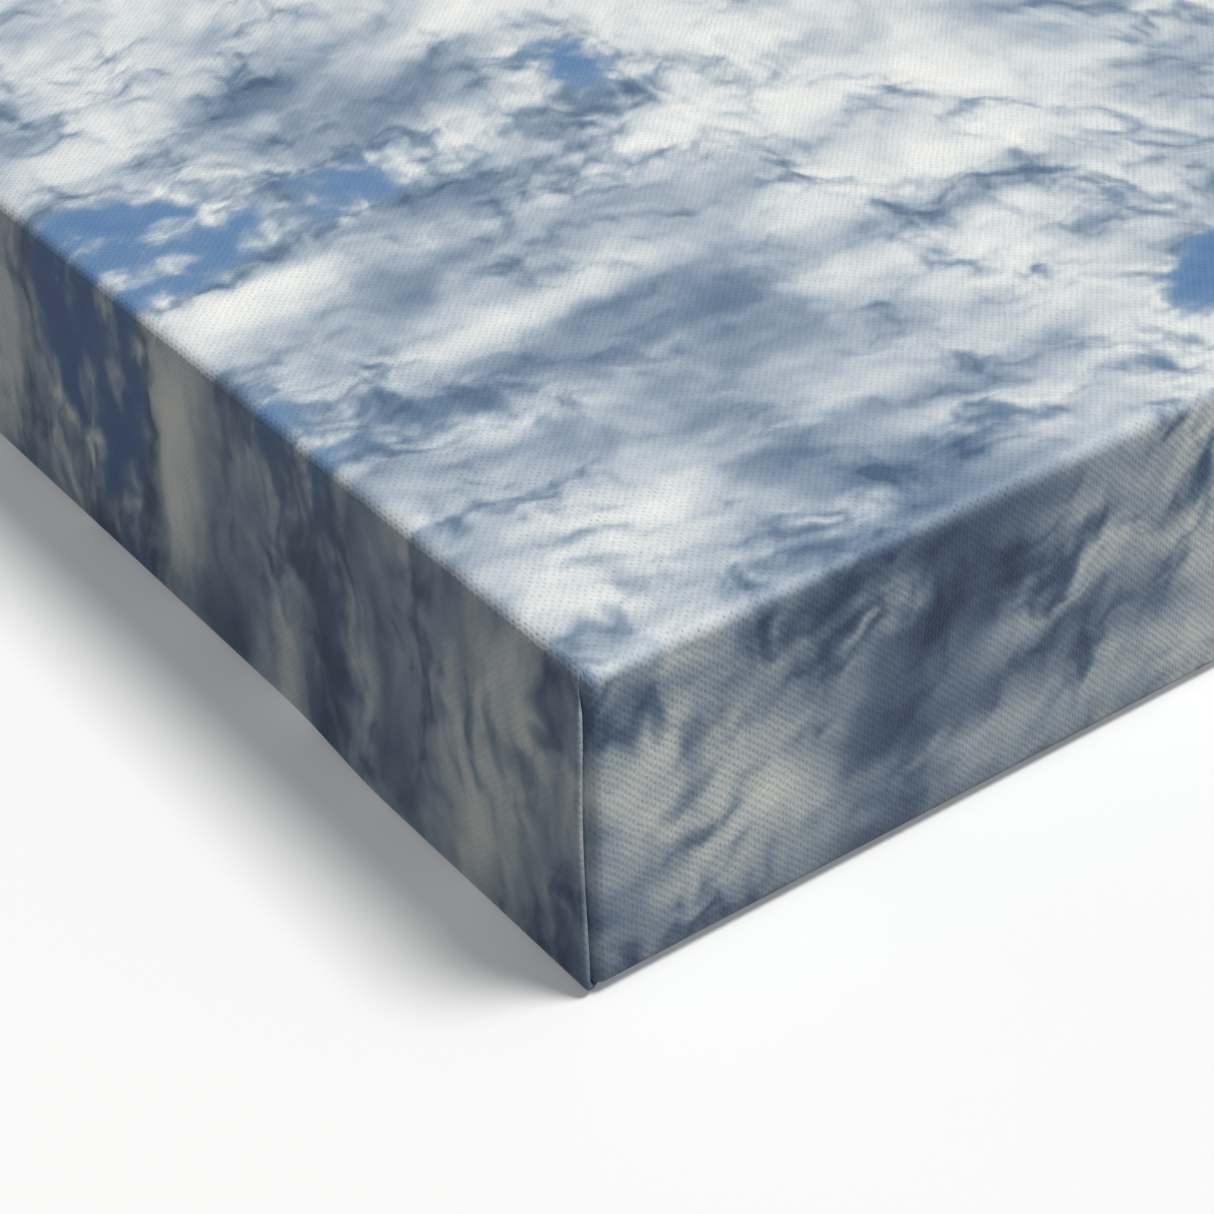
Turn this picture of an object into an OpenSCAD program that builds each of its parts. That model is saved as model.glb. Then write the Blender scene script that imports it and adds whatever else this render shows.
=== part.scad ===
// Gallery-wrapped stretched canvas, lying on its back with its picture up.
// +X runs along the picture's width, +Y up the picture and +Z out of its face.
// The origin is under the middle of the picture, on the surface that it lies on.
// Four mitred bars with keyed corners carry one printed cloth, stapled on the back.

/* [Picture] */
// Finished width of the picture
picture_w = 610; // [450:1:1000]
// Finished height of the picture
picture_h = 406; // [350:1:700]
// Finished depth, from the wall to the picture's face
picture_d = 38; // [36:0.5:50]

/* [Cloth] */
// Thickness of the primed cloth
cloth_t = 0.45; // [0.3:0.05:0.6]
// Width of the cloth that turns over onto the back
flap_w = 36; // [30:1:38]
// Outer radius of the cloth round the edges and corners
edge_r = 2; // [1.5:0.1:3]
// Extra layers of cloth in the ear folded over at each corner
ear_layers = 2; // [2:1:3]

/* [Stretcher bars] */
// Width of a bar, seen from the back
bar_w = 40; // [40:1:50]
// Width of the raised bead that the cloth bends over
bead_w = 8; // [6:0.5:12]
// How far the bar's front falls away from the cloth
front_fall = 5; // [3:0.5:6]
// Chamfer along the bar's inner back edge
back_chamfer = 1.5; // [0.5:0.5:3]

/* [Corner joints] */
// Height of the long bars' tongues above the bars' back
low_slot_h = 8; // [7:0.5:9]
// Height of the short bars' tongues above the bars' back
high_slot_h = 19; // [15:0.5:20]
// Width of the slots that the tongues and keys share
slot_t = 4.4; // [4:0.1:5]
// Solid wood left outside a tongue
tongue_wall = 10; // [8:0.5:14]

/* [Corner keys] */
// Length of a key
key_l = 42; // [38:1:46]
// Width of a key at its point
key_tip_w = 5; // [4:0.5:7]
// Angle of a key's sloping edge
key_angle = 16; // [10:1:18]
// How far each key draws out of its slot
key_travel = 22; // [10:1:24]
// Gap round a key and a tongue in their slot
key_gap = 0.2; // [0.1:0.05:0.3]

/* [Staples] */
// Width of a staple's crown
crown_w = 10; // [9:0.5:12]
// Length of a staple's legs
leg_l = 7; // [5:0.5:7.5]
// Width of the flattened wire
wire_w = 1.2; // [1:0.1:1.4]
// Thickness of the flattened wire
wire_t = 0.5; // [0.4:0.05:0.55]
// Greatest distance between two staples
staple_pitch = 52; // [40:1:80]
// Distance from the edge of the picture to the row of staples
staple_inset = 25; // [18:1:27]

/* [Strap hangers] */
// Distance from the top of the picture to the ring's axle
hanger_drop = 110; // [95:1:160]
// Width of the strap
strap_w = 10; // [9:0.5:12]
// Length of the strap, from the ring's axle to the screw
strap_l = 13; // [12:0.5:18]
// Thickness of the strap's sheet steel
strap_t = 0.8; // [0.7:0.05:1]
// Radius of the ring's wire
ring_wire_r = 1; // [0.9:0.05:1.1]
// Inner half width of the ring's eye
ring_r = 7.5; // [7:0.5:9]
// Length of the ring's straight arms
ring_arm = 5; // [4:0.5:8]

/* [Hidden] */
$fn = 48;
EAR_T = ear_layers * cloth_t;
BACK_Z = cloth_t + EAR_T;
FRONT_Z = picture_d - cloth_t;
FRAME_W = picture_w - 2 * cloth_t;
FRAME_H = picture_h - 2 * (cloth_t + EAR_T);
BAR_R = edge_r - cloth_t;
LOW_Z = BACK_Z + low_slot_h;
HIGH_Z = BACK_Z + high_slot_h;
TONGUE_T = slot_t - 2 * key_gap;
TONGUE_ROOT = 3;
KEY_START = tongue_wall + 2;
EAR_W = picture_d;
SKIN = 0.05;
ARC_STEPS = 6;
CORNER_STAPLES = [[32, 16, -45], [50, 20, 0]];
STAPLE_END = flap_w + EAR_W + crown_w;
STAPLE_TILT = 6;
HANGER_Y = picture_h / 2 - hanger_drop;
HANGER_X = FRAME_W / 2 - bar_w;
HANGER_Z = picture_d * 0.45;
AXLE_R = ring_wire_r + 0.05;
AXLE_H = strap_t + AXLE_R;
SCREW_HOLE_R = 1.75;
SCREW_R = 1.5;
SCREW_L = 13;
SCREW_HEAD_R = 3.2;
SCREW_HEAD_H = 1.9;
RECESS_W = 0.9;

CLOTH_COLOUR = [0.72, 0.78, 0.83];
PINE = [0.83, 0.68, 0.47];
KEY_PINE = [0.88, 0.75, 0.55];
STEEL = [0.70, 0.71, 0.72];
NICKEL = [0.78, 0.77, 0.74];

CORNERS = [["top_left", -1, 1], ["top_right", 1, 1], ["bottom_left", -1, -1], ["bottom_right", 1, -1]];
KEY_NODES = [for (c = CORNERS, run = ["long", "short"]) str("key_", c[0], "_", run)];

// Points of a quarter round about (x, y), from one angle to ninety degrees further.
function quarter(x, y, r, from) = [
    for (i = [0 : ARC_STEPS])
        [x + r * cos(from + 90 * i / ARC_STEPS), y + r * sin(from + 90 * i / ARC_STEPS)]
];

// Outline of a rectangle w by h about the origin, its four corners rounded to r.
function rounded(w, h, r) = concat(
    quarter(w / 2 - r, h / 2 - r, r, 0),
    quarter(r - w / 2, h / 2 - r, r, 90),
    quarter(r - w / 2, r - h / 2, r, 180),
    quarter(w / 2 - r, r - h / 2, r, 270)
);

// Outline of an upright section: square at the bottom, rounded at both upper corners.
function domed(w, z0, z1, r) = concat(
    [[-w / 2, z0], [w / 2, z0]],
    quarter(w / 2 - r, z1 - r, r, 0),
    quarter(r - w / 2, z1 - r, r, 90)
);

// Section of a bar: its outer face at 0, its back at the bottom, the bead at the upper left.
BAR_SECTION = concat(
    [[0, BACK_Z], [bar_w - back_chamfer, BACK_Z], [bar_w, BACK_Z + back_chamfer]],
    [[bar_w, FRONT_Z - front_fall], [bead_w, FRONT_Z]],
    quarter(BAR_R, FRONT_Z - BAR_R, BAR_R, 90)
);

// Sloping edge of a key, at a distance along the key's own bar from the outer corner.
function key_edge(a) = bar_w + key_tip_w + (a - KEY_START) * tan(key_angle);

// A point list with its two coordinates exchanged, which turns one bar's joint into the other's.
function swapped(points) = [for (i = [len(points) - 1 : -1 : 0]) [points[i][1], points[i][0]]];

// A block as wide, high and deep as asked, with rounded upright and front edges.
module wrapped_block(w, h, z0, z1, r) {
    intersection() {
        translate([0, 0, z0]) linear_extrude(z1 - z0) polygon(rounded(w, h, r));
        rotate([90, 0, 0]) linear_extrude(h, center = true) polygon(domed(w, z0, z1, r));
        rotate([90, 0, 90]) linear_extrude(w, center = true) polygon(domed(h, z0, z1, r));
    }
}

// The space that the four bars fill together, hollow included.
module bar_block() {
    wrapped_block(FRAME_W, FRAME_H, BACK_Z, FRONT_Z, BAR_R);
}

// Puts a shape drawn at the lower left corner of the frame at the corner on sides sx and sy.
// There a runs inwards along X from the bars' outer faces, and b inwards along Y.
module at_corner(sx, sy) {
    mirror([sx > 0 ? 1 : 0, 0, 0])
        mirror([0, sy > 0 ? 1 : 0, 0])
            translate([-FRAME_W / 2, -FRAME_H / 2, 0]) children();
}

// The folded ear of cloth: a triangle on the side, then a turned-over pad on the back.
module ear(sx, sy) {
    side_y = picture_h / 2 - EAR_T - SKIN;
    reach = picture_w / 2 - edge_r;
    mirror([sx < 0 ? 1 : 0, 0, 0])
        mirror([0, sy > 0 ? 1 : 0, 0]) {
            translate([0, -side_y, 0]) rotate([90, 0, 0]) linear_extrude(EAR_T + SKIN)
                polygon([[reach - EAR_W, 0], [reach, 0], [reach, EAR_W - edge_r]]);
            linear_extrude(EAR_T + SKIN) polygon([
                [reach - EAR_W, -picture_h / 2],
                [reach, -picture_h / 2],
                [reach, flap_w - side_y],
                [reach - EAR_W - flap_w, flap_w - side_y]
            ]);
        }
}

// One cloth: the printed face, four wrapped sides, the turned-over margin and four folded ears.
module canvas() {
    body_h = picture_h - 2 * EAR_T;
    color(CLOTH_COLOUR)
        union() {
            difference() {
                wrapped_block(picture_w, body_h, EAR_T, picture_d, edge_r);
                bar_block();
                translate([flap_w - picture_w / 2, flap_w - body_h / 2, -1])
                    cube([picture_w - 2 * flap_w, body_h - 2 * flap_w, BACK_Z + 2]);
            }
            for (sx = [-1, 1], sy = [-1, 1]) ear(sx, sy);
        }
}

// Bar stock of one length, mitred at both ends, outer face at y = 0 and inner face at bar_w.
module mitred_bar(length) {
    intersection() {
        rotate([90, 0, 90]) linear_extrude(length, center = true) polygon(BAR_SECTION);
        linear_extrude(picture_d) polygon([
            [-length / 2, 0],
            [length / 2, 0],
            [length / 2 - bar_w, bar_w],
            [bar_w - length / 2, bar_w]
        ]);
    }
}

// Tongue of a long bar, in corner coordinates: it runs past the mitre into the short bar.
LONG_TONGUE = [
    [tongue_wall, tongue_wall],
    [tongue_wall + TONGUE_ROOT, tongue_wall],
    [bar_w + TONGUE_ROOT, bar_w],
    [tongue_wall, bar_w]
];

// Slot in a short bar, in corner coordinates: room for the long bar's tongue and its key.
SHORT_SLOT = [
    [tongue_wall - key_gap, 0],
    [bar_w + 1, 0],
    [bar_w + 1, key_edge(bar_w + 1) + key_gap],
    [tongue_wall - key_gap, key_edge(tongue_wall - key_gap) + key_gap]
];

// Key that lies along a long bar, in corner coordinates.
LONG_KEY = [
    [KEY_START, bar_w + key_gap],
    [KEY_START + key_l, bar_w + key_gap],
    [KEY_START + key_l, key_edge(KEY_START + key_l)],
    [KEY_START, key_edge(KEY_START)]
];

// A flat shape in one joint level: the slot's full width, or less the gap on both sides.
module in_slot(z, points, thickness) {
    translate([0, 0, z + (slot_t - thickness) / 2]) linear_extrude(thickness) polygon(points);
}

// Long bar on side sy: low tongues, high slots.
module long_bar(sy) {
    color(PINE)
        difference() {
            union() {
                intersection() {
                    mirror([0, sy > 0 ? 1 : 0, 0])
                        translate([0, -FRAME_H / 2, 0]) mitred_bar(FRAME_W);
                    bar_block();
                }
                for (sx = [-1, 1]) at_corner(sx, sy) in_slot(LOW_Z, LONG_TONGUE, TONGUE_T);
            }
            for (sx = [-1, 1]) at_corner(sx, sy) in_slot(HIGH_Z, swapped(SHORT_SLOT), slot_t);
        }
}

// Short bar on side sx: high tongues, low slots.
module short_bar(sx) {
    color(PINE)
        difference() {
            union() {
                intersection() {
                    mirror([sx > 0 ? 1 : 0, 0, 0])
                        translate([-FRAME_W / 2, 0, 0]) rotate([0, 0, -90]) mitred_bar(FRAME_H);
                    bar_block();
                }
                for (sy = [-1, 1]) at_corner(sx, sy) in_slot(HIGH_Z, swapped(LONG_TONGUE), TONGUE_T);
            }
            for (sy = [-1, 1]) at_corner(sx, sy) in_slot(LOW_Z, SHORT_SLOT, slot_t);
        }
}

// Corner key, lying along the long or the short bar of its corner.
module corner_key(corner, run) {
    along_long = run == "long";
    color(KEY_PINE)
        at_corner(corner[1], corner[2])
            in_slot(along_long ? LOW_Z : HIGH_Z, along_long ? LONG_KEY : swapped(LONG_KEY), TONGUE_T);
}

// One staple: its crown along X on the back, its legs driven upwards into the wood.
module staple(back_z) {
    translate([-crown_w / 2, -wire_w / 2, back_z]) {
        cube([crown_w, wire_w, wire_t]);
        for (x = [0, crown_w - wire_t]) translate([x, 0, 0]) cube([wire_t, wire_w, leg_l]);
    }
}

// An even row of staples along X over a stretch of the cloth's turned-over margin.
module staple_row(length) {
    gaps = ceil(length / staple_pitch);
    for (i = [0 : gaps])
        translate([length * (i / gaps - 0.5), 0, 0])
            rotate([0, 0, STAPLE_TILT * sin(137 * i)]) staple(EAR_T - wire_t / 2);
}

// Staples of a long bar, with two more through the folded ear at each end.
module long_staples(sy) {
    color(STEEL) {
        translate([0, sy * (picture_h / 2 - staple_inset), 0]) staple_row(picture_w - 2 * STAPLE_END);
        for (sx = [-1, 1], s = CORNER_STAPLES)
            at_corner(sx, sy) translate([s[0], s[1], 0]) rotate([0, 0, s[2]]) staple(SKIN);
    }
}

// Staples of a short bar.
module short_staples(sx) {
    color(STEEL)
        translate([sx * (picture_w / 2 - staple_inset), 0, 0]) rotate([0, 0, 90])
            staple_row(picture_h - 2 * (flap_w + 2 * crown_w));
}

// Puts a hanger's piece on the inner face of the short bar on side sx.
// Its own x then runs along Z, its y up the picture and its z away from the wood.
module on_bar(sx) {
    mirror([sx < 0 ? 1 : 0, 0, 0])
        translate([HANGER_X, HANGER_Y, HANGER_Z]) rotate([0, -90, 0]) children();
}

// Strap: sheet steel folded double round the ring's axle, with one screw hole.
module strap(sx) {
    color(NICKEL)
        on_bar(sx)
            difference() {
                union() {
                    translate([-strap_w / 2, -strap_l, 0]) cube([strap_w, strap_l, 2 * strap_t]);
                    translate([0, -strap_l, 0]) cylinder(h = 2 * strap_t, r = strap_w / 2);
                    translate([-strap_w / 2, 0, AXLE_H]) rotate([0, 90, 0])
                        cylinder(h = strap_w, r = AXLE_H);
                }
                translate([-strap_w, 0, AXLE_H]) rotate([0, 90, 0]) cylinder(h = 2 * strap_w, r = AXLE_R);
                translate([0, -strap_l, -1]) cylinder(h = 2 * strap_t + 2, r = SCREW_HOLE_R);
            }
}

// D-shaped ring of round wire, its straight side turning in the strap.
module ring(sx) {
    color(NICKEL)
        on_bar(sx)
            translate([0, 0, AXLE_H]) {
                translate([-ring_r, 0, 0]) rotate([0, 90, 0]) cylinder(h = 2 * ring_r, r = ring_wire_r);
                for (x = [-ring_r, ring_r]) translate([x, 0, 0]) {
                    sphere(r = ring_wire_r);
                    rotate([-90, 0, 0]) cylinder(h = ring_arm, r = ring_wire_r);
                }
                translate([0, ring_arm, 0])
                    rotate_extrude(angle = 180) translate([ring_r, 0]) circle(r = ring_wire_r);
            }
}

// Pan-headed wood screw through the strap into the bar, with a crossed recess.
module hanger_screw(sx) {
    on_bar(sx) translate([0, -strap_l, 2 * strap_t])
        difference() {
            union() {
                cylinder(h = SCREW_HEAD_H / 2, r = SCREW_HEAD_R);
                translate([0, 0, SCREW_HEAD_H / 2])
                    cylinder(h = SCREW_HEAD_H / 2, r1 = SCREW_HEAD_R, r2 = SCREW_HEAD_R * 0.6);
                translate([0, 0, -SCREW_L]) cylinder(h = SCREW_L, r = SCREW_R);
                translate([0, 0, -SCREW_L - 2 * SCREW_R]) cylinder(h = 2 * SCREW_R, r1 = 0.1, r2 = SCREW_R);
            }
            for (turn = [0, 90]) rotate([0, 0, turn])
                translate([-SCREW_R, -RECESS_W / 2, SCREW_HEAD_H / 2])
                    cube([2 * SCREW_R, RECESS_W, SCREW_HEAD_H]);
        }
}

// Both hanger screws.
module hanger_screws() {
    color(STEEL) for (sx = [-1, 1]) hanger_screw(sx);
}

canvas();
long_bar(1);  // bar_top
long_bar(-1);  // bar_bottom
short_bar(-1);  // bar_left
short_bar(1);  // bar_right
for (c = CORNERS, run = ["long", "short"])
    corner_key(c, run);
long_staples(1);  // staples_top
long_staples(-1);  // staples_bottom
short_staples(-1);  // staples_left
short_staples(1);  // staples_right
strap(-1);  // strap_left
strap(1);  // strap_right
ring(-1);  // ring_left
ring(1);  // ring_right
hanger_screws();
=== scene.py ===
"""Looks of a deep-edge stretched canvas print that lies on its back: cloth, wood and metal."""
import math

import bmesh
import bpy
import numpy as np
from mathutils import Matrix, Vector


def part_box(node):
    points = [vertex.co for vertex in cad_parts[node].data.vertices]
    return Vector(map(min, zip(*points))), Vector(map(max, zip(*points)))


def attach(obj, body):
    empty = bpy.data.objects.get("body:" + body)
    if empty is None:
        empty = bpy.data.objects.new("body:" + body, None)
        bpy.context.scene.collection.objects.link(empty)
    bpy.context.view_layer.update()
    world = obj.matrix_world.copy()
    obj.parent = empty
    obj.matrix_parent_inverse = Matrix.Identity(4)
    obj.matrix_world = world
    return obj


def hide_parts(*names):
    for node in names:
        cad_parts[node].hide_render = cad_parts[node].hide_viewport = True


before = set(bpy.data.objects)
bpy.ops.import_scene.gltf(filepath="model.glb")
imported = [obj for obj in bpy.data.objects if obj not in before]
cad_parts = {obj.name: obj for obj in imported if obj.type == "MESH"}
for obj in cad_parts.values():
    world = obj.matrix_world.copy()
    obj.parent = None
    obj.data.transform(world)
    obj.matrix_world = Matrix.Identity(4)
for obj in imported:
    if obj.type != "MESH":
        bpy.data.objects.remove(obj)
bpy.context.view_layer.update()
MM = 0.001

# Sizes of the cloth, read from the frame as far as it has them. EDGE_R and BACK_R are the rounds at the
# front and back edges, FLAP the margin turned onto the back, and PRINT_TURN how far the print follows it.
CLOTH_LOW, CLOTH_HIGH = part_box("canvas")
HALF_X, HALF_Y, TOP = CLOTH_HIGH.x, CLOTH_HIGH.y, CLOTH_HIGH.z
CLOTH_T = HALF_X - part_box("bar_right")[1].x
EAR_T = HALF_Y - CLOTH_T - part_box("bar_top")[1].y
FACE_Y = HALF_Y - EAR_T
BACK = CLOTH_LOW.z + EAR_T
DEPTH = TOP - CLOTH_LOW.z
EDGE_R = 1.5 * MM
BACK_R = 1.2 * MM
FLAP = 36.0 * MM
ROUND_COLUMNS = 9
LIMIT_X = HALF_X - EDGE_R
LIMIT_Y = FACE_Y - EDGE_R
EAR_DEPTH = 60 * MM
LAYER_GAP = 0.06 * MM
FRONT_SLACK = 0.3 * MM
PRINT_TURN = 11 * MM
SIDE_PRINT_SCALE = 1.33
SAME_PLACE = 0.002 * MM

# The camera: its place from the visible top corner, the azimuth and elevation that it looks from,
# and its roll, in degrees.
CAMERA_PLACE = Vector((154.7, -109.1, 143.6)) * MM
CAMERA_AZIMUTH, CAMERA_ELEVATION, CAMERA_ROLL = 54.04, 35.62, -1.08
CAMERA_LENS, CAMERA_SENSOR = 81.5, 36.0

# The light: where it comes from, how wide its disc is, in degrees, and how strong each source is.
LIGHT_AZIMUTH, LIGHT_ELEVATION, LIGHT_DISC = 140, 67, 20
LIGHT_STRENGTH, SKY_STRENGTH, TABLE_GLOW, WALL_GLOW = 2.78, 0.175, 0.17, 0.97

# How far the table top reaches each way, and how high the wall stands, in metres.
SET_REACH = 12.0


# ---------------------------------------------------------------- camera, light and floor

def direction(azimuth, elevation):
    """Unit vector towards a place seen at an azimuth (0 is -Y, 90 is +X) and an elevation, in degrees."""
    a, e = math.radians(azimuth), math.radians(elevation)
    return Vector((math.sin(a) * math.cos(e), -math.cos(a) * math.cos(e), math.sin(e)))


def make_camera():
    """A short telephoto view, close to the lower right corner of the picture."""
    camera = bpy.data.objects.new("camera", bpy.data.cameras.new("camera"))
    bpy.context.scene.collection.objects.link(camera)
    camera.data.lens = CAMERA_LENS
    camera.data.sensor_width = CAMERA_SENSOR
    camera.data.clip_start = 0.01
    camera.location = Vector((HALF_X, -HALF_Y, TOP)) + CAMERA_PLACE
    looking = -direction(CAMERA_AZIMUTH, CAMERA_ELEVATION)
    camera.rotation_euler = looking.to_track_quat("-Z", "Y").to_euler()
    camera.rotation_euler.rotate_axis("Z", math.radians(CAMERA_ROLL))
    bpy.context.scene.camera = camera


def make_lights():
    """One soft light high behind the right side, even over the whole table, and a dim sky."""
    lamp = bpy.data.lights.new("main_light", "SUN")
    lamp.energy = LIGHT_STRENGTH
    lamp.angle = math.radians(LIGHT_DISC)
    lamp.color = (1.0, 0.995, 0.98)
    light = bpy.data.objects.new("main_light", lamp)
    bpy.context.scene.collection.objects.link(light)
    coming_from = direction(LIGHT_AZIMUTH, LIGHT_ELEVATION)
    light.rotation_euler = coming_from.to_track_quat("Z", "Y").to_euler()
    world = bpy.data.worlds.new("studio")
    world.use_nodes = True
    sky = world.node_tree.nodes["Background"]
    sky.inputs["Color"].default_value = (0.96, 0.98, 1.0, 1.0)
    sky.inputs["Strength"].default_value = SKY_STRENGTH
    bpy.context.scene.world = world
    bpy.context.scene.view_settings.view_transform = "Standard"


def stage_sheet(name, points, faces, finish):
    """A part of the set, which lights nothing by itself."""
    mesh = bpy.data.meshes.new(name)
    mesh.from_pydata(points, [], faces)
    mesh.materials.append(finish.material)
    sheet = bpy.data.objects.new(name, mesh)
    bpy.context.scene.collection.objects.link(sheet)
    sheet.visible_diffuse = False
    return sheet


def make_stage():
    """A plain pale table top that glows a little and is seen only from above, and a plain white wall."""
    far = SET_REACH
    corners = [(-far, -far, 0), (far, -far, 0), (far, far, 0), (-far, far, 0)]
    paper = Finish("table_top")
    paper.set(Roughness=0.9, Specular_IOR_Level=0.0, Base_Color=(0.80, 0.80, 0.80, 1),
              Emission_Color=(1, 1, 1, 1), Emission_Strength=TABLE_GLOW)
    one_sided = paper.node("MixShader")
    paper.put(one_sided.inputs[0], paper.node("NewGeometry").outputs["Backfacing"])
    paper.put(one_sided.inputs[1], paper.shader.outputs[0])
    paper.put(one_sided.inputs[2], paper.node("BsdfTransparent").outputs[0])
    paper.put(paper.tree.nodes["Material Output"].inputs["Surface"], one_sided.outputs[0])
    stage_sheet("table_top", corners, [(0, 1, 2, 3)], paper)
    wall = Finish("wall")
    wall.set(Base_Color=(0, 0, 0, 1), Specular_IOR_Level=0.0,
             Emission_Color=(1, 1, 1, 1), Emission_Strength=WALL_GLOW)
    upper = [(x, y, far) for x, y, _ in corners]
    sides = [(k, (k + 1) % 4, (k + 1) % 4 + 4, k + 4) for k in range(4)]
    backdrop = stage_sheet("wall", corners + upper, sides, wall)
    backdrop.visible_shadow = False
    backdrop.visible_glossy = False


# ---------------------------------------------------------------- node graphs

class Finish:
    """One material on a Principled shader, with a short call for each kind of node."""

    def __init__(self, name):
        self.material = bpy.data.materials.new(name)
        self.material.use_nodes = True
        self.tree = self.material.node_tree
        self.shader = self.tree.nodes["Principled BSDF"]

    def put(self, socket, value):
        """Links a socket to another one, or sets its own value."""
        if isinstance(value, bpy.types.NodeSocket):
            self.tree.links.new(value, socket)
        else:
            socket.default_value = value

    def set(self, **values):
        """Sets the shader's own sockets."""
        for name, value in values.items():
            self.put(self.shader.inputs[name.replace("_", " ")], value)

    def node(self, kind, **settings):
        made = self.tree.nodes.new("ShaderNode" + kind)
        for name, value in settings.items():
            setattr(made, name, value)
        return made

    def math(self, operation, a, b=0.0, c=0.0):
        made = self.node("Math", operation=operation)
        for socket, value in zip(made.inputs, (a, b, c)):
            self.put(socket, value)
        return made.outputs[0]

    def vector(self, operation, a, b):
        made = self.node("VectorMath", operation=operation)
        self.put(made.inputs[0], a)
        self.put(made.inputs[3] if operation == "SCALE" else made.inputs[1], b)
        return made.outputs[0]

    def parts(self, vector):
        made = self.node("SeparateXYZ")
        self.put(made.inputs[0], vector)
        return made.outputs

    def join(self, x, y, z=0.0):
        made = self.node("CombineXYZ")
        for socket, value in zip(made.inputs, (x, y, z)):
            self.put(socket, value)
        return made.outputs[0]

    def noise(self, vector, scale, detail, roughness=0.5, colour=False):
        made = self.node("TexNoise")
        self.put(made.inputs["Vector"], vector)
        made.inputs["Scale"].default_value = scale
        made.inputs["Detail"].default_value = detail
        made.inputs["Roughness"].default_value = roughness
        return made.outputs["Color" if colour else "Fac"]

    def spread(self, value, low, high, out_low=0.0, out_high=1.0, smooth=False):
        """Maps low..high onto out_low..out_high, clamped."""
        made = self.node("MapRange", clamp=True)
        made.interpolation_type = "SMOOTHSTEP" if smooth else "LINEAR"
        for socket, v in zip(made.inputs, (value, low, high, out_low, out_high)):
            self.put(socket, v)
        return made.outputs[0]

    def ramp(self, value, stops):
        """A colour for each value; stops are (place, (r, g, b))."""
        made = self.node("ValToRGB")
        elements = made.color_ramp.elements
        while len(elements) < len(stops):
            elements.new(0.5)
        for element, (place, colour) in zip(elements, stops):
            element.position = place
            element.color = (*colour, 1)
        self.put(made.inputs[0], value)
        return made.outputs[0]

    def mix(self, share, a, b, kind="MIX"):
        made = self.node("Mix", data_type="RGBA", blend_type=kind)
        self.put(made.inputs["Factor"], share)
        self.put(made.inputs[6], a)
        self.put(made.inputs[7], b)
        return made.outputs[2]

    def bump(self, height, strength, distance):
        made = self.node("Bump")
        made.inputs["Strength"].default_value = strength
        made.inputs["Distance"].default_value = distance
        self.put(made.inputs["Height"], height)
        return made.outputs[0]


# ---------------------------------------------------------------- mesh helpers

def new_piece(name, points, faces):
    """A mesh piece from an array of points and an array of faces with as many corners each."""
    points, faces = np.asarray(points, np.float32), np.asarray(faces, np.int32)
    mesh = bpy.data.meshes.new(name)
    mesh.vertices.add(len(points))
    mesh.vertices.foreach_set("co", points.ravel())
    mesh.loops.add(faces.size)
    mesh.loops.foreach_set("vertex_index", faces.ravel())
    mesh.polygons.add(len(faces))
    mesh.polygons.foreach_set("loop_start", np.arange(0, faces.size, faces.shape[1], dtype=np.int32))
    mesh.update(calc_edges=True)
    mesh.shade_smooth()
    piece = bpy.data.objects.new(name, mesh)
    bpy.context.scene.collection.objects.link(piece)
    return piece


def grid_faces(rows, columns, closed=False, start=0):
    """Corner numbers of a grid's squares, stored row by row; closed joins its last column to its first."""
    index = start + np.arange(rows * columns).reshape(rows, columns)
    if closed:
        index = np.concatenate([index, index[:, :1]], axis=1)
    a, b = index[:-1, :-1], index[1:, :-1]
    c, d = index[1:, 1:], index[:-1, 1:]
    return np.stack([a, b, c, d], axis=-1).reshape(-1, 4)


def smooth_step(value, low, high):
    """0 below low, 1 above high, and the curve 3t^2 - 2t^3 between them."""
    t = np.clip((value - low) / (high - low), 0, 1)
    return t * t * (3 - 2 * t)


def add_uv(piece, name, per_point):
    """A UV map from one coordinate pair for each point."""
    mesh = piece.data
    corner = np.zeros(len(mesh.loops), np.int32)
    mesh.loops.foreach_get("vertex_index", corner)
    layer = mesh.uv_layers.new(name=name)
    layer.data.foreach_set("uv", per_point[corner].astype(np.float32).ravel())


def add_value(piece, name, per_point):
    """A named value for each point."""
    attribute = piece.data.attributes.new(name, "FLOAT", "POINT")
    attribute.data.foreach_set("value", per_point.astype(np.float32))


def merge_points(piece):
    """Closes seams and poles by joining points in one place."""
    work = bmesh.new()
    work.from_mesh(piece.data)
    bmesh.ops.remove_doubles(work, verts=work.verts, dist=SAME_PLACE)
    work.to_mesh(piece.data)
    work.free()


# ---------------------------------------------------------------- the cloth's shape

def graded(half, near):
    """Places from -half to half: steps of 1 growing to 2 mm over the near stretch at the high end, then
    of up to 12 mm, and steps of 1.2 growing to 12 mm from the low end. The last two meet halfway along
    what the near stretch leaves."""

    def run(length, first, factor, limit):
        steps = np.minimum(first * factor ** np.arange(int(length / first) + 2), limit)
        places = np.concatenate([[0], np.cumsum(steps)])
        places = places[: np.searchsorted(places, length) + 1]
        return places * length / places[-1]

    rest = half - near / 2
    from_high = half - run(near, 1.0 * MM, 1.03, 2.0 * MM)
    between = half - near - run(rest, 2.0 * MM, 1.15, 12 * MM)
    from_low = -half + run(rest, 1.2 * MM, 1.15, 12 * MM)
    return np.concatenate([from_low, between[-2::-1], from_high[-2::-1]])


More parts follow.
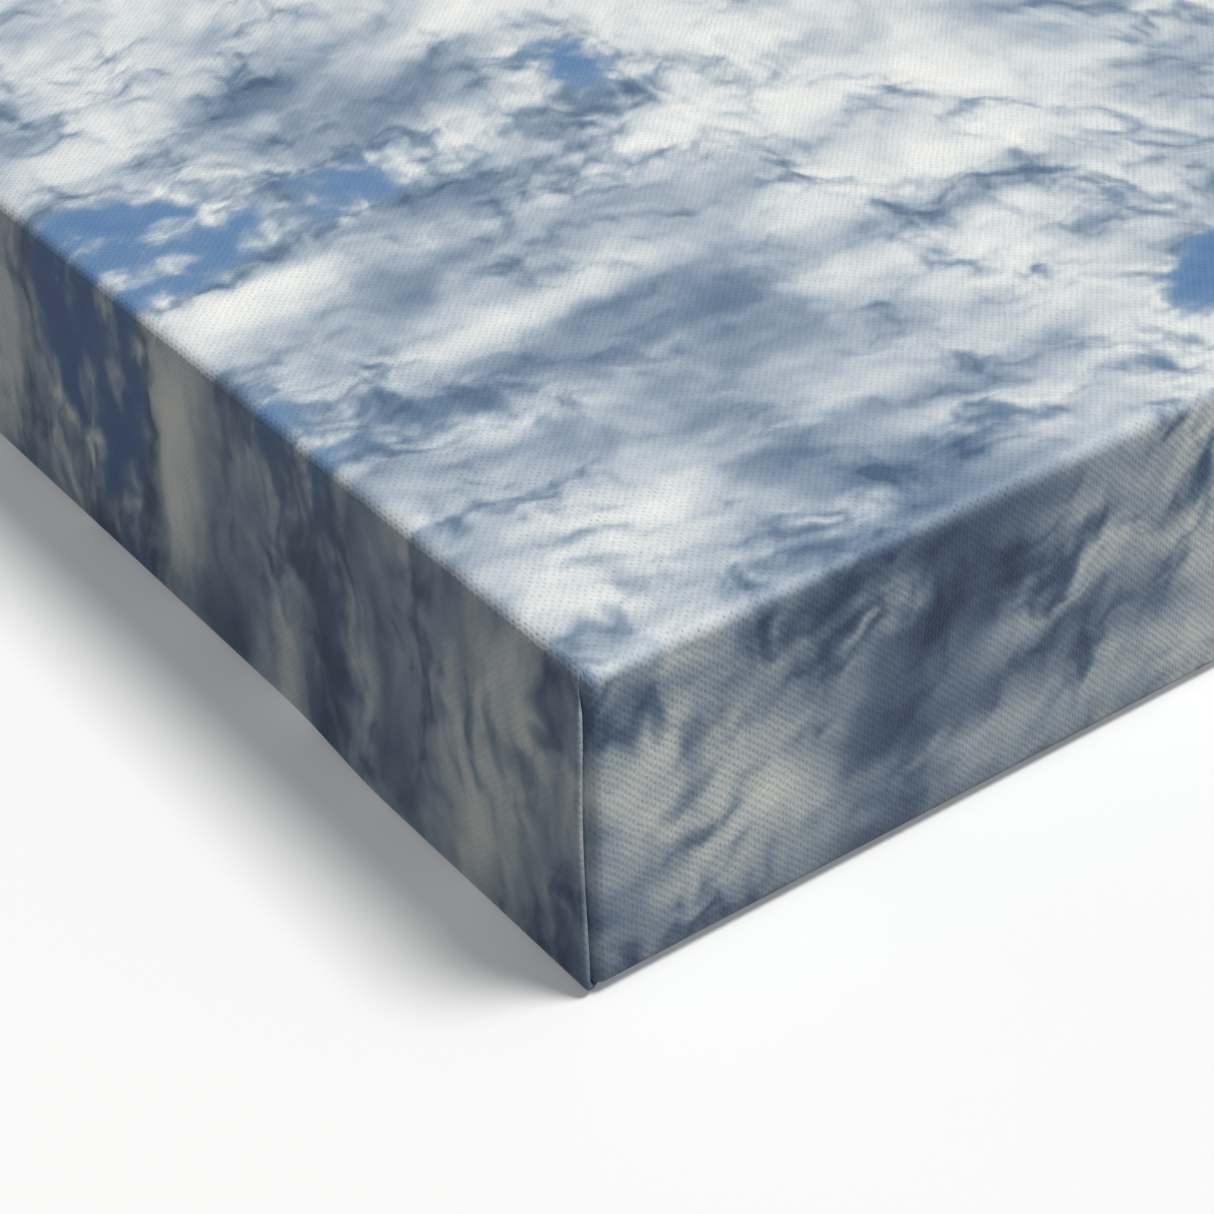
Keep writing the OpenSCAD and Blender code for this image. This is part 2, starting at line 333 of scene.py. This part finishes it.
class Wrap:
    """The cloth's path from the flat front over the edge, down the side and onto the back.

    out is the outward step from where the edge's round starts, up is the height, lean is how much
    the normal points outwards and sink how much it points down, and used is the length of cloth.
    It is a quarter round of EDGE_R, a straight, a quarter round of BACK_R and a straight."""

    def __init__(self):
        turn = np.radians(np.linspace(0, 90, 8))
        side_top, side_low = TOP - EDGE_R, BACK + BACK_R
        fall = np.linspace(side_top, side_low, 13)[1:]
        back_turn = np.radians(np.linspace(0, 90, 5)[1:])
        in_run = np.linspace(0, 1, 7)[1:] * (FLAP - BACK_R)
        self.out = np.concatenate([
            EDGE_R * np.sin(turn),
            np.full(len(fall), EDGE_R),
            EDGE_R - BACK_R + BACK_R * np.cos(back_turn),
            EDGE_R - BACK_R - in_run,
        ])
        self.up = np.concatenate([
            TOP - EDGE_R * (1 - np.cos(turn)),
            fall,
            side_low - BACK_R * np.sin(back_turn),
            np.full(len(in_run), BACK),
        ])
        self.lean = np.concatenate([
            np.sin(turn), np.ones(len(fall)), np.cos(back_turn), np.zeros(len(in_run))])
        self.sink = np.concatenate([
            -np.cos(turn), np.zeros(len(fall)), np.sin(back_turn), np.ones(len(in_run))])
        self.used = np.concatenate([
            EDGE_R * turn,
            EDGE_R * math.pi / 2 + side_top - fall,
            EDGE_R * math.pi / 2 + side_top - side_low + BACK_R * back_turn,
            EDGE_R * math.pi / 2 + side_top - side_low + BACK_R * math.pi / 2 + in_run,
        ])
        self.count = len(self.out)
        # Radius of the upright corner, seen from above, and how far its centre has moved inwards.
        self.corner_r = np.clip(np.minimum(self.out, EDGE_R), EDGE_R - BACK_R, EDGE_R)
        self.corner_r[: len(turn)] = EDGE_R * np.sin(turn)
        self.centre = self.out - self.corner_r
        # How far the ear's fold has opened at each level.
        self.open = smooth_step(self.used, 0.9 * MM, 8.0 * MM)

    def on_long_side(self, x, off):
        """Points of a long side at x, standing off the base layer along its normal."""
        y = LIMIT_Y + self.out[:, None] + self.lean[:, None] * off
        z = self.up[:, None] - self.sink[:, None] * off
        return np.stack([x + 0 * y, y, z + 0 * x], axis=-1)


def ear_lift(wrap, from_corner):
    """How far the outer layer of a long side stands off over the folded ear.

    The ear is a triangle as wide as the cloth used so far; its edge fades over some millimetres."""
    reach = wrap.used[:, None]
    fade = 1 - smooth_step(from_corner[None, :], reach * 0.95 - 1.5 * MM, reach * 1.25 + 8.0 * MM)
    return ear_height(wrap)[:, None] * fade


def ear_height(wrap):
    """How high the folded ear stands at each level: pressed a third flatter on the back, by its staples."""
    pressed = smooth_step(wrap.used, DEPTH + 3 * MM, DEPTH + 10 * MM)
    return EAR_T * wrap.open * (1 - 0.34 * pressed)


def fold_place(wrap):
    """Where an ear's round fold stands: almost on the corner down the side, and drawn in on the back."""
    way_down = np.clip(wrap.used / DEPTH, 0, 1)
    bow = 0.35 * MM + 0.55 * MM * np.sin(math.pi * way_down) ** 2
    bow = bow + 4 * MM * smooth_step(wrap.used, DEPTH - 1 * MM, DEPTH + 4 * MM)
    return LIMIT_X + wrap.open * (EDGE_R - bow - EAR_T * wrap.open / 2)


def corner_path(wrap):
    """The cloth's way round a corner, for x and y positive: points, cloth coordinates.

    The outer layer ends in a round fold, runs back underneath as deep as the ear, turns again,
    comes out along the wood and rounds the corner onto the short side."""
    levels = wrap.count
    lift = ear_height(wrap)[:, None]
    slit = LAYER_GAP * wrap.open[:, None]
    fold_x = fold_place(wrap)
    deep_x = LIMIT_X - wrap.open * np.minimum(wrap.used, EAR_DEPTH)
    end_x = LIMIT_X + wrap.centre

    turn = np.radians(np.linspace(90, -90, 11))[None, :]
    fold_at = fold_x[:, None] + lift / 2 * np.cos(turn)
    fold_off = (lift + slit) / 2 + (lift - slit) / 2 * np.sin(turn)
    share = np.array([0.04, 0.12, 0.3, 0.6, 1.0])[None, :]
    under_at = fold_x[:, None] + (deep_x - fold_x)[:, None] * share
    back_at = deep_x[:, None] + (end_x - deep_x)[:, None] * (1 - share[:, ::-1][:, 1:])
    x = np.concatenate([fold_at, under_at, deep_x[:, None], back_at], axis=1)
    off = np.concatenate([
        fold_off, slit + 0 * under_at, np.zeros((levels, 1)), 0 * back_at], axis=1)
    layers = wrap.on_long_side(x, off)

    round_turn = np.radians(np.linspace(90, 0, ROUND_COLUMNS))[None, :]
    radius = wrap.corner_r[:, None]
    arc = np.stack([
        end_x[:, None] + radius * np.cos(round_turn),
        LIMIT_Y + wrap.centre[:, None] + radius * np.sin(round_turn),
        wrap.up[:, None] + 0 * round_turn,
    ], axis=-1)

    used = wrap.used[:, None]
    cloth_x = np.concatenate([
        fold_x[:, None] + lift / 2 * (math.pi / 2 - turn),
        fold_x[:, None] + lift * math.pi / 2 + (fold_x[:, None] - under_at),
        LIMIT_X + used,
        LIMIT_X + used + 0 * back_at,
        LIMIT_X + used + 0 * round_turn,
    ], axis=1)
    round_l = radius * math.pi / 2
    cloth_y = np.concatenate([
        LIMIT_Y + used + 0 * turn,
        LIMIT_Y + used + 0 * under_at,
        LIMIT_Y + round_l + end_x[:, None] - deep_x[:, None],
        LIMIT_Y + round_l + end_x[:, None] - back_at,
        LIMIT_Y + radius * round_turn,
    ], axis=1)
    return np.concatenate([layers, arc], axis=1), np.stack([cloth_x, cloth_y], axis=-1)


def cloth_rings(wrap, xs, ys):
    """Every level of the wrapped cloth as one closed ring, anticlockwise from above."""
    lift = ear_lift(wrap, LIMIT_X - np.abs(xs))
    drawn_in = np.minimum(fold_place(wrap) - 0.3 * MM * wrap.open, LIMIT_X) / LIMIT_X
    long_x = xs[None, :] * drawn_in[:, None]
    long_points = wrap.on_long_side(long_x, lift)
    long_cloth = np.stack([long_x, LIMIT_Y + wrap.used[:, None] + 0 * long_x], axis=-1)
    short_y = ys[None, :] * (LIMIT_Y + wrap.centre[:, None]) / LIMIT_Y
    short_points = np.stack(np.broadcast_arrays(
        LIMIT_X + wrap.out[:, None], short_y, wrap.up[:, None]), axis=-1)
    short_cloth = np.stack(np.broadcast_arrays(LIMIT_X + wrap.used[:, None], short_y), axis=-1)
    corner_points, corner_cloth = corner_path(wrap)

    def placed(points, cloth, sx, sy, backwards):
        points, cloth = points * np.array([sx, sy, 1]), cloth * np.array([sx, sy])
        return (points[:, ::-1], cloth[:, ::-1]) if backwards else (points, cloth)

    ring = [
        placed(long_points, long_cloth, 1, -1, False),
        placed(corner_points, corner_cloth, 1, -1, False),
        placed(short_points, short_cloth, 1, 1, False),
        placed(corner_points, corner_cloth, 1, 1, True),
        placed(long_points, long_cloth, 1, 1, True),
        placed(corner_points, corner_cloth, -1, 1, False),
        placed(short_points, short_cloth, -1, 1, True),
        placed(corner_points, corner_cloth, -1, -1, True),
    ]
    return [np.concatenate([part[k] for part in ring], axis=1) for k in (0, 1)]


def folded_back(cloth, limit):
    """Where the print repeats on the sides: past the edge it runs back as in a mirror, a little smaller."""
    edge = limit + EDGE_R * math.pi / 4
    past = np.maximum(np.abs(cloth) - edge, 0)
    return np.sign(cloth) * (np.minimum(np.abs(cloth), edge) - past / SIDE_PRINT_SCALE)


def cloud_lines(picture):
    """Coordinates across and along the rows of cloud: upright at the right, and slanting further left.

    across = x + 0.9 * g * h, where g steps softly from 0 to 1 leftwards and h rises with y and levels
    off, so that the rows slant most in the middle of the left part; along = y."""
    x, y = picture[:, 0] - LIMIT_X, picture[:, 1] + LIMIT_Y
    left_share = smooth_step(-x, 0, 220 * MM)
    rise = 70 * MM * smooth_step(y, -20 * MM, 130 * MM)
    return np.stack([x + 0.9 * left_share * rise, y], axis=-1)


def thin_ear_starts(piece, wrap, around, start, long_count, short_count):
    """Thins the cloth where an ear begins, so that its layers have room.

    The weight is the unpressed ear's height over 2.2 cloth thicknesses, up to 1."""
    group = piece.vertex_groups.new(name="thickness")
    group.add(list(range(len(piece.data.vertices))), 1.0, "REPLACE")
    corner = corner_path(wrap)[0].shape[1]
    folded = corner - ROUND_COLUMNS
    runs = [(long_count, corner, False), (short_count, corner, True)] * 2
    place, columns = 0, []
    for side_count, corner_count, backwards in runs:
        place += side_count
        columns.append(place + (ROUND_COLUMNS if backwards else 0) + np.arange(folded))
        place += corner_count
    columns = np.concatenate(columns)
    room = np.clip(EAR_T * wrap.open / (2.2 * CLOTH_T), 0, 1)
    for level in np.flatnonzero(room < 1):
        group.add((start + level * around + columns).tolist(), float(room[level]), "REPLACE")


def make_cloth():
    """The whole cloth as one piece: flat front, wrapped sides, folded ears and turned-over margin."""
    wrap = Wrap()
    xs = graded(LIMIT_X, 170 * MM)
    ys = -graded(LIMIT_Y, 150 * MM)[::-1]
    x, y = np.meshgrid(xs, ys, indexing="ij")
    inwards = np.minimum(LIMIT_X - np.abs(x), LIMIT_Y - np.abs(y))
    slack = FRONT_SLACK * smooth_step(inwards, 4 * MM, 40 * MM)
    front = np.stack([x, y, TOP - slack], axis=-1).reshape(-1, 3)
    rings, ring_cloth = cloth_rings(wrap, xs, ys)
    levels, around = rings.shape[:2]
    points = np.concatenate([front, rings.reshape(-1, 3)])
    front_faces = grid_faces(len(xs), len(ys))
    ring_faces = grid_faces(levels, around, closed=True, start=len(front))
    piece = new_piece("canvas_cloth", points, np.concatenate([front_faces, ring_faces]))
    cloth = np.concatenate([front[:, :2], ring_cloth.reshape(-1, 2)])
    picture = np.stack([folded_back(cloth[:, 0], LIMIT_X), folded_back(cloth[:, 1], LIMIT_Y)], axis=-1)
    add_uv(piece, "cloth", cloth)
    add_uv(piece, "clouds", cloud_lines(picture))
    used = np.concatenate([np.zeros(len(front)), np.repeat(wrap.used, around)])
    add_value(piece, "cloth_used", used)
    thin_ear_starts(piece, wrap, around, len(front), len(xs), len(ys))
    merge_points(piece)
    wall = piece.modifiers.new("thickness", "SOLIDIFY")
    wall.vertex_group = "thickness"
    wall.thickness_vertex_group = 0.02
    wall.thickness = CLOTH_T * 0.9
    wall.offset = -1
    wall.material_offset = 1
    wall.material_offset_rim = 1
    piece.data.materials.append(printed_cloth())
    piece.data.materials.append(bare_cloth())
    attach(piece, "frame")
    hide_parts("canvas")


# ---------------------------------------------------------------- the cloth's finish

THREAD = 0.48 * MM


def weave(finish, cloth_uv):
    """Height and pores of a plain weave, whose threads are THREAD apart and a little uneven.

    With u and v as pi * place / THREAD, turn = cos(u) * cos(v) is 1 at the pores and -1 at the knuckles
    between them. Pores are drawn out along x: turn less three times 1 - |cos(v)|. Threads along x
    stand out a little more than those across them, as |sin(v)|."""
    uneven = finish.noise(cloth_uv, 260.0, 3.0, 0.6, colour=True)
    wander = finish.vector("SUBTRACT", uneven, (0.5, 0.5, 0.5))
    place = finish.vector("ADD", finish.vector("SCALE", cloth_uv, math.pi / THREAD),
                          finish.vector("SCALE", wander, 5.0))
    u, v, _ = finish.parts(place)
    row = finish.math("COSINE", v)
    turn = finish.math("MULTIPLY", finish.math("COSINE", u), row)
    narrow = finish.math("SUBTRACT", finish.math("ABSOLUTE", row), 1.0)
    dash = finish.spread(finish.math("MULTIPLY_ADD", narrow, 3.0, turn), 0.15, 0.8, smooth=True)
    patchy = finish.math("MULTIPLY", finish.spread(finish.noise(cloth_uv, 1000.0, 2.0, 0.6), 0.4, 0.65),
                         finish.spread(finish.noise(cloth_uv, 45.0, 2.0), 0.4, 0.62, 0.35, 1.0))
    rib = finish.math("ABSOLUTE", finish.math("SINE", v))
    knuckle = finish.math("MULTIPLY_ADD", turn, -0.35, 0.35)
    knuckle = finish.math("MULTIPLY_ADD", rib, 0.3, knuckle)
    return knuckle, finish.math("MULTIPLY", dash, patchy)


def cloud_print(finish):
    """Colour of the printed sky: rows of soft cloud from grey-blue to white, with blue gaps between them.

    Cover and brightness are each the sum of a few noises, all of the same kind over the whole picture,
    so that no real sky is repeated. Puffs are heaps of
    round cells in several sizes; each is lit from one side, as its height less its height a little
    further on, and they show most where the cover is thin. Past 170 mm from the lower right corner,
    wide banks join in, so that the whole picture has open sky and thick cloud."""
    lines = finish.node("UVMap", uv_map="clouds").outputs[0]
    bend = finish.vector("SUBTRACT", finish.noise(lines, 70.0, 3.0, 0.55, colour=True), (0.5, 0.5, 0.5))
    bent = finish.vector("ADD", lines, finish.vector("SCALE", bend, 11 * MM))

    def rows(along, stretch, scale, detail, shift=(0, 0, 0)):
        place = finish.vector("MULTIPLY", finish.vector("ADD", along, shift), (1, stretch, 1))
        return finish.noise(place, scale, detail, 0.5)

    def heaped(scale, shift):
        cells = finish.node("TexVoronoi", feature="SMOOTH_F1", voronoi_dimensions="2D")
        place = finish.vector("MULTIPLY", finish.vector("ADD", bent, shift), (1, 0.7, 1))
        finish.put(cells.inputs["Vector"], place)
        for name, value in (("Scale", scale), ("Detail", 3.0), ("Roughness", 0.5), ("Smoothness", 0.45)):
            cells.inputs[name].default_value = value
        return finish.math("SUBTRACT", 0.5, cells.outputs["Distance"])

    def added(start, *terms):
        total = start
        for value, weight in terms:
            total = finish.math("MULTIPLY_ADD", value, weight, total)
        return total

    banks = rows(lines, 0.42, 34.0, 2.0)
    soft = rows(bent, 0.40, 75.0, 3.0, (0.71, 0.37, 0))
    streaks = rows(lines, 0.16, 85.0, 2.0, (0.27, 0.83, 0))
    puffs = heaped(115.0, (0.13, 0.41, 0))
    beyond = heaped(115.0, (0.13 + 0.9 * MM, 0.41 - 1.5 * MM, 0))
    lit = finish.math("SUBTRACT", puffs, beyond)
    far = finish.node("VectorMath", operation="LENGTH")
    finish.put(far.inputs[0], lines)
    wide = finish.math("SUBTRACT", rows(lines, 0.75, 8.5, 2.0, (0.45, 0.15, 0)), 0.47)
    wide = finish.math("MULTIPLY", wide, finish.spread(far.outputs["Value"], 0.17, 0.34, smooth=True))
    gap = finish.spread(rows(lines, 0.6, 27.0, 1.0, (0.62, 0.28, 0)), 0.58, 0.70, smooth=True)
    shine = finish.math("MULTIPLY_ADD", rows(lines, 0.6, 24.0, 1.0, (0.35, 0.57, 0)), 3.0, -1.5)
    cover = added(0.21, (banks, 0.9), (puffs, 0.34), (soft, -0.20), (gap, -0.46), (wide, 2.5))
    thin = finish.spread(cover, 0.18, 0.58, 1.0, 0.0, smooth=True)
    crisp = finish.math("MULTIPLY_ADD", thin, 0.7, 0.07)
    relief = finish.math("MULTIPLY", added(0.0, (lit, 1.4), (puffs, 0.7)), crisp)
    bright = added(-1.77, (banks, 1.0), (soft, 2.3), (streaks, 1.2), (relief, 1.15), (shine, 0.52),
                   (thin, 0.08), (wide, 1.9))
    cloud = finish.ramp(finish.spread(bright, -0.4, 1.2), [
        (0.0, (0.07, 0.13, 0.23)),
        (0.25, (0.17, 0.245, 0.35)),
        (0.406, (0.30, 0.375, 0.475)),
        (0.5625, (0.50, 0.57, 0.64)),
        (0.719, (0.73, 0.77, 0.785)),
        (0.875, (0.88, 0.895, 0.88)),
        (1.0, (0.95, 0.955, 0.93)),
    ])
    sky = finish.ramp(finish.spread(cover, -0.25, 0.3), [
        (0.0, (0.09, 0.20, 0.42)), (0.5, (0.14, 0.26, 0.46)), (1.0, (0.27, 0.38, 0.53))])
    return finish.mix(finish.spread(cover, 0.0, 0.31, smooth=True), sky, cloud)


def printed_cloth():
    """Matt printed canvas with painted shade on the sides, where the print is made deeper and more
    contrasty, and bare primer past the print's end.
    """
    finish = Finish("printed_canvas")
    cloth_uv = finish.node("UVMap", uv_map="cloth").outputs[0]
    knuckle, pore = weave(finish, cloth_uv)
    used = finish.node("Attribute", attribute_name="cloth_used").outputs["Fac"]
    front = cloud_print(finish)
    # Painted shade: past the front edge the print is darkened and its contrast raised, standing in for how
    # the sides look in shade.
    side_shade_print = finish.node("Gamma")
    finish.put(side_shade_print.inputs["Color"], front)
    side_shade_print.inputs["Gamma"].default_value = 1.7
    side_shade_print = finish.mix(1.0, side_shade_print.outputs[0], (1.28, 1.27, 1.24, 1), "MULTIPLY")
    print_with_side_shade = finish.mix(finish.spread(used, 0.8 * MM, 3.2 * MM), front, side_shade_print)
    ragged = finish.noise(cloth_uv, 900.0, 2.0)
    end = finish.math("MULTIPLY_ADD", ragged, 1.2 * MM, DEPTH + PRINT_TURN)
    past_print = finish.spread(finish.math("SUBTRACT", used, end), 0.0, 0.3 * MM)
    colour = finish.mix(past_print, print_with_side_shade, (0.72, 0.71, 0.68, 1))
    grit = finish.noise(finish.vector("MULTIPLY", cloth_uv, (0.5, 1, 1)), 3000.0, 2.0, 0.7)
    round_edge = finish.spread(used, 0.1 * MM, 1.0 * MM)
    on_side = finish.spread(used, 1.5 * MM, 3.5 * MM)
    deep = finish.math("MULTIPLY_ADD", on_side, -0.30, finish.math("MULTIPLY_ADD", round_edge, 0.24, 0.26))
    shade = finish.math("MULTIPLY_ADD", finish.math("MULTIPLY", pore, deep), -1.0, 1.0)
    shade = finish.math("MULTIPLY", shade, finish.spread(knuckle, 0.0, 1.0, 0.93, 1.05))
    shade = finish.math("MULTIPLY", shade, finish.spread(grit, 0.3, 0.7, 0.93, 1.07))
    colour = finish.mix(1.0, colour, finish.join(shade, shade, shade), "MULTIPLY")
    height = finish.math("MULTIPLY_ADD", pore, -0.5, knuckle)
    height = finish.math("MULTIPLY_ADD", grit, 0.9, height)
    finish.set(Base_Color=colour, Roughness=0.6, Normal=finish.bump(height, 0.6, 0.06 * MM))
    finish.set(Specular_IOR_Level=0.35, Sheen_Weight=0.12, Sheen_Roughness=0.5)
    return finish.material


def bare_cloth():
    """Unprimed back of the canvas: warm off-white threads with darker flecks."""
    finish = Finish("bare_canvas")
    cloth_uv = finish.node("UVMap", uv_map="cloth").outputs[0]
    knuckle, pore = weave(finish, cloth_uv)
    fleck = finish.noise(finish.vector("MULTIPLY", cloth_uv, (1, 0.2, 1)), 800.0, 3.0)
    fleck = finish.spread(fleck, 0.62, 0.7)
    patches = finish.noise(cloth_uv, 14.0, 4.0)
    tone = finish.ramp(patches, [(0.3, (0.56, 0.52, 0.44)), (0.7, (0.66, 0.62, 0.54))])
    colour = finish.mix(fleck, tone, (0.36, 0.29, 0.20, 1))
    shade = finish.math("MULTIPLY", finish.spread(knuckle, 0.0, 1.0, 0.78, 1.04),
                        finish.spread(pore, 0.0, 0.8, 1.0, 0.5))
    colour = finish.mix(1.0, colour, finish.join(shade, shade, shade), "MULTIPLY")
    height = finish.math("SUBTRACT", knuckle, pore)
    finish.set(Base_Color=colour, Roughness=0.9, Normal=finish.bump(height, 0.9, 0.12 * MM))
    finish.set(Specular_IOR_Level=0.2, Sheen_Weight=0.2)
    return finish.material


# ---------------------------------------------------------------- wood and metal

def finished_copy(node, body, material, round_edge, segments=2):
    """A merged copy of a hard part with its edges rounded, which stands for the part."""
    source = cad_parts[node]
    work = bmesh.new()
    work.from_mesh(source.data)
    bmesh.ops.remove_doubles(work, verts=work.verts, dist=SAME_PLACE)
    bmesh.ops.dissolve_limit(work, angle_limit=math.radians(0.5), verts=work.verts, edges=work.edges)
    corners = [e for e in work.edges if e.is_manifold and e.calc_face_angle() > math.radians(38)]
    bmesh.ops.bevel(work, geom=corners, offset=round_edge, offset_type="OFFSET", segments=segments,
                    profile=0.5, affect="EDGES", clamp_overlap=True)
    bmesh.ops.triangulate(work, faces=[f for f in work.faces if len(f.verts) > 4])
    mesh = bpy.data.meshes.new(f"{node}_finished")
    work.to_mesh(mesh)
    work.free()
    mesh.shade_smooth()
    mesh.materials.append(material)
    piece = bpy.data.objects.new(f"{node}_finished", mesh)
    bpy.context.scene.collection.objects.link(piece)
    flat = piece.modifiers.new("flat_faces", "WEIGHTED_NORMAL")
    flat.weight = 90
    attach(piece, body)
    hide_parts(node)


def pine(name, along, light, dark, shift):
    """Planed pine: growth rings round a far pith, cut lengthwise, with fibres, pores and a few knots.

    The ring number is the distance from the pith line, bent by noise that is long along the grain."""
    finish = Finish(name)
    place = finish.node("TexCoord").outputs["Object"]
    x, y, z = finish.parts(place)
    grain, side = (x, y) if along == "x" else (y, x)
    straight = finish.vector("ADD", finish.join(finish.math("MULTIPLY", grain, 0.07), side, z), shift)
    drift = finish.noise(straight, 22.0, 3.0, 0.5)
    knots = finish.node("TexVoronoi", voronoi_dimensions="2D")
    finish.put(knots.inputs["Vector"], finish.join(finish.math("MULTIPLY", grain, 0.6), side))
    knots.inputs["Scale"].default_value = 9.0
    knot = finish.spread(knots.outputs["Distance"], 0.02, 0.16, 1.0, 0.0, smooth=True)
    _, across, up = finish.parts(straight)
    away = finish.math("SQRT", finish.math("MULTIPLY_ADD", across, across, finish.math("POWER", up, 2.0)))
    rings = finish.math("MULTIPLY_ADD", drift, 0.020, away)
    rings = finish.math("MULTIPLY_ADD", knot, 0.012, rings)
    wave = finish.math("FRACT", finish.math("MULTIPLY", rings, 330.0))
    late = finish.spread(wave, 0.45, 1.0, smooth=True)
    fibres = finish.noise(finish.join(finish.math("MULTIPLY", grain, 0.03), side, z), 2600.0, 3.0, 0.6)
    blotch = finish.noise(straight, 9.0, 3.0)
    colour = finish.mix(finish.math("MULTIPLY", late, 0.65), (*light, 1), (*dark, 1))
    colour = finish.mix(finish.spread(fibres, 0.35, 0.75, 0.0, 0.35), colour, (*dark, 1))
    colour = finish.mix(finish.spread(blotch, 0.35, 0.7, 0.0, 0.22), colour, (0.70, 0.50, 0.30, 1))
    heart = finish.spread(knots.outputs["Distance"], 0.012, 0.035, 1.0, 0.0, smooth=True)
    colour = finish.mix(finish.math("MULTIPLY", knot, 0.35), colour, (0.42, 0.22, 0.09, 1))
    colour = finish.mix(finish.math("MULTIPLY", heart, 0.85), colour, (0.16, 0.07, 0.03, 1))
    height = finish.math("MULTIPLY_ADD", fibres, 0.8, finish.math("MULTIPLY", late, 0.5))
    finish.set(Base_Color=colour, Roughness=finish.spread(fibres, 0.3, 0.7, 0.55, 0.75))
    finish.set(Specular_IOR_Level=0.3, Normal=finish.bump(height, 0.35, 0.12 * MM))
    return finish.material


def metal(name, tone, roughness, scratch, dull):
    """Plated steel: fine scratches every way, and patches that are a little duller and darker."""
    finish = Finish(name)
    place = finish.node("TexCoord").outputs["Object"]
    lines = finish.noise(finish.vector("MULTIPLY", place, (1, 0.06, 1)), 5200.0, 2.0, 0.6)
    crossed = finish.noise(finish.vector("MULTIPLY", place, (0.06, 1, 0.3)), 4300.0, 2.0, 0.6)
    patches = finish.noise(place, 260.0, 4.0, 0.6)
    marks = finish.math("MULTIPLY", finish.math("ADD", lines, crossed), 0.5)
    worn = finish.spread(patches, 0.4, 0.65, 0.0, dull)
    colour = finish.mix(worn, (*tone, 1), (tone[0] * 0.62, tone[1] * 0.60, tone[2] * 0.56, 1))
    rough = finish.math("ADD", finish.spread(marks, 0.35, 0.65, roughness * 0.75, roughness * 1.3),
                        finish.math("MULTIPLY", worn, 0.25))
    finish.set(Base_Color=colour, Metallic=1.0, Roughness=rough)
    finish.set(Normal=finish.bump(marks, scratch, 0.02 * MM))
    return finish.material


def make_bars():
    """Four mitred pine stretcher bars and their eight thin keys."""
    light, dark = (0.80, 0.62, 0.40), (0.60, 0.38, 0.18)
    wood = {
        "bar_top": pine("pine_top", "x", light, dark, (0.1, -0.17, 0.03)),
        "bar_bottom": pine("pine_bottom", "x", light, dark, (0.5, 0.26, 0.05)),
        "bar_left": pine("pine_left", "y", light, dark, (0.2, 0.22, 0.02)),
        "bar_right": pine("pine_right", "y", light, dark, (0.8, -0.34, 0.06)),
    }
    for node, material in wood.items():
        finished_copy(node, "frame", material, 0.5 * MM)
    pale, brown = (0.86, 0.72, 0.50), (0.66, 0.46, 0.25)
    long_key = pine("key_pine_long", "x", pale, brown, (0.3, 0.05, 0.08))
    short_key = pine("key_pine_short", "y", pale, brown, (0.6, 0.09, 0.04))
    for corner in ("top_left", "top_right", "bottom_left", "bottom_right"):
        for way, material in (("long", long_key), ("short", short_key)):
            name = f"key_{corner}_{way}"
            finished_copy(name, name, material, 0.25 * MM)


def make_metalwork():
    """Staples on the back, and the two hangers: bent strap, screw and ring."""
    staple = metal("staple_steel", (0.78, 0.77, 0.75), 0.24, 0.2, 0.4)
    for side in ("top", "bottom", "left", "right"):
        finished_copy(f"staples_{side}", "frame", staple, 0.16 * MM)
    plated = metal("hanger_nickel", (0.82, 0.80, 0.76), 0.22, 0.15, 0.35)
    for side in ("left", "right"):
        finished_copy(f"strap_{side}", "frame", plated, 0.2 * MM)
        finished_copy(f"ring_{side}", f"ring_{side}", plated, 0.05 * MM, 1)
    screw = metal("screw_steel", (0.76, 0.74, 0.68), 0.3, 0.2, 0.5)
    finished_copy("hanger_screws", "frame", screw, 0.12 * MM)


make_camera()
make_lights()
make_stage()
make_cloth()
make_bars()
make_metalwork()
